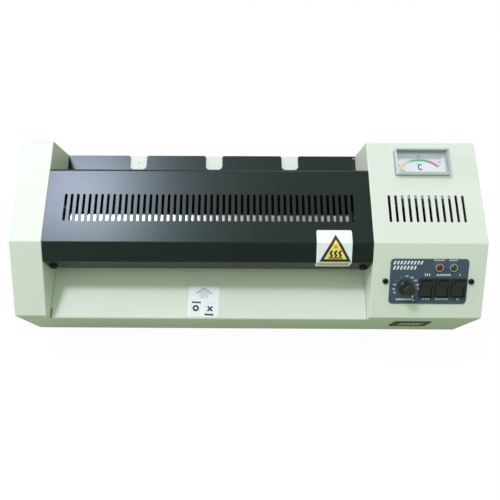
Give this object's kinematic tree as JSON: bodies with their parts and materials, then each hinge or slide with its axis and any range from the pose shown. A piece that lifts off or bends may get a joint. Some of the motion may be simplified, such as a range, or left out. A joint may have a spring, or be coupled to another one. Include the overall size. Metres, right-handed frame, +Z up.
{
  "type": "pouch laminator",
  "caption": "Desktop pouch laminator: heated and pulling roller pairs under a slotted cover, feed table, exit plate, control panel with knob, rocker switches and temperature meter.",
  "frame": {"origin": "middle of the footprint, on the surface that the rubber feet stand on", "axes": "+X along the rollers to the control end, +Y from the feed side to the exit side, +Z up"},
  "size_m": [0.5, 0.202, 0.13],
  "materials": {
    "cream_paint": "fine orange-peel powder coat, satin",
    "black_paint": "satin powder coat",
    "panel_paint": "screen-printed slate blue plate, satin",
    "frame_steel": "zinc plated",
    "bright_aluminium": "bright reflector sheet",
    "cast_aluminium": "extruded, dull",
    "shaft_steel": "turned",
    "silicone": "ground silicone rubber",
    "gear_nylon": "moulded",
    "bronze": "sintered bush",
    "element_ceramic": "matt",
    "motor_paint": "satin",
    "board_green": "solder mask",
    "pale_moulding": "moulded meter body",
    "part_black": "moulded housings",
    "switch_black": "moulded, semi-gloss",
    "knob_black": "moulded, semi-gloss",
    "chrome_ring": "plated",
    "red_glass": "tinted lens",
    "green_glass": "tinted lens",
    "clear_cover": "clear moulded window",
    "dial_white": "printed scale plate",
    "needle_red": "painted pointer",
    "screw_black": "blackened screw",
    "badge_olive": "plain plate",
    "label_vinyl": "printed vinyl",
    "foot_rubber": "moulded",
    "pin_brass": "plated contact"
  },
  "bodies": {
    "machine": {"left_casing": "cream_paint", "right_casing": "cream_paint", "base_pan": "cream_paint", "front_table": "cream_paint", "rear_panel": "cream_paint", "exit_plate": "black_paint", "top_cover": "black_paint", "cover_rails": "frame_steel", "cover_screws": "screw_black", "left_side_frame": "frame_steel", "right_side_frame": "frame_steel", "tie_rods": "shaft_steel", "pouch_guides": "frame_steel", "idler_pin": "shaft_steel", "drive_motor": "motor_paint", "motor_bracket": "frame_steel", "roller_bushes": "bronze", "pressure_springs": "shaft_steel", "pressure_screws": "shaft_steel", "heater_shoes": "cast_aluminium", "heating_elements": "element_ceramic", "heat_reflector": "bright_aluminium", "control_board": "board_green", "board_parts": "part_black", "control_panel_plate": "panel_paint", "panel_screws": "screw_black", "led_bezels": "chrome_ring", "red_lens": "red_glass", "green_lens": "green_glass", "thermostat_body": "part_black", "switch_housings": "switch_black", "meter_housing": "pale_moulding", "meter_dial": "dial_white", "meter_cover": "clear_cover", "badge_plate": "badge_olive", "feed_label": "label_vinyl", "heat_label": "label_vinyl", "power_inlet": "part_black", "inlet_pins": "pin_brass", "fuse_holder": "part_black", "rubber_feet": "foot_rubber"},
    "lower_hot_roller": {"lower_hot_core": "shaft_steel", "lower_hot_sleeve": "silicone", "lower_hot_gear": "gear_nylon"},
    "upper_hot_roller": {"upper_hot_core": "shaft_steel", "upper_hot_sleeve": "silicone", "upper_hot_gear": "gear_nylon"},
    "lower_pull_roller": {"lower_pull_core": "shaft_steel", "lower_pull_sleeve": "silicone", "lower_pull_gear": "gear_nylon"},
    "upper_pull_roller": {"upper_pull_core": "shaft_steel", "upper_pull_sleeve": "silicone", "upper_pull_gear": "gear_nylon"},
    "idler": {"idler_gear": "gear_nylon"},
    "pinion": {"drive_pinion": "shaft_steel"},
    "knob": {"temperature_knob": "knob_black"},
    "heat_switch": {"heat_rocker": "switch_black"},
    "direction_switch": {"direction_rocker": "switch_black"},
    "power_switch": {"power_rocker": "switch_black"},
    "needle": {"meter_needle": "needle_red"}
  },
  "joints": [
    {"name": "lower_hot_spin", "type": "hinge", "parent": "machine", "child": "lower_hot_roller", "pos_m": [0, -0.015, 0.055], "axis": [1, 0, 0], "continuous": true},
    {"name": "upper_hot_spin", "type": "hinge", "parent": "machine", "child": "upper_hot_roller", "pos_m": [0, -0.015, 0.083], "axis": [1, 0, 0], "continuous": true},
    {"name": "lower_pull_spin", "type": "hinge", "parent": "machine", "child": "lower_pull_roller", "pos_m": [0, 0.035, 0.055], "axis": [1, 0, 0], "continuous": true},
    {"name": "upper_pull_spin", "type": "hinge", "parent": "machine", "child": "upper_pull_roller", "pos_m": [0, 0.035, 0.083], "axis": [1, 0, 0], "continuous": true},
    {"name": "idler_spin", "type": "hinge", "parent": "machine", "child": "idler", "pos_m": [0, 0.01, 0.055], "axis": [1, 0, 0], "continuous": true},
    {"name": "pinion_spin", "type": "hinge", "parent": "machine", "child": "pinion", "pos_m": [0, -0.038, 0.055], "axis": [1, 0, 0], "continuous": true},
    {"name": "knob_turn", "type": "hinge", "parent": "machine", "child": "knob", "pos_m": [0.1664, -0.06995, 0.09793], "axis": [0, -0.4908, 0.8712], "range_deg": [-165, 115]},
    {"name": "heat_press", "type": "hinge", "parent": "machine", "child": "heat_switch", "pos_m": [0.1887, -0.07059, 0.09682], "axis": [1, 0, 0], "range_deg": [-20, 0]},
    {"name": "direction_press", "type": "hinge", "parent": "machine", "child": "direction_switch", "pos_m": [0.2056, -0.07059, 0.09682], "axis": [1, 0, 0], "range_deg": [-20, 0]},
    {"name": "power_press", "type": "hinge", "parent": "machine", "child": "power_switch", "pos_m": [0.2225, -0.07059, 0.09682], "axis": [1, 0, 0], "range_deg": [-20, 0]},
    {"name": "needle_swing", "type": "hinge", "parent": "machine", "child": "needle", "pos_m": [0.1896, 0.0412, 0.1171], "axis": [0, 0, 1], "range_deg": [-94, 0]}
  ],
  "couplings": [
    {"joint": "upper_hot_spin", "follows": "lower_hot_spin", "ratio": -1},
    {"joint": "lower_pull_spin", "follows": "lower_hot_spin", "ratio": 1},
    {"joint": "upper_pull_spin", "follows": "lower_hot_spin", "ratio": -1},
    {"joint": "idler_spin", "follows": "lower_hot_spin", "ratio": -1.2727},
    {"joint": "pinion_spin", "follows": "lower_hot_spin", "ratio": -1.5556}
  ]
}
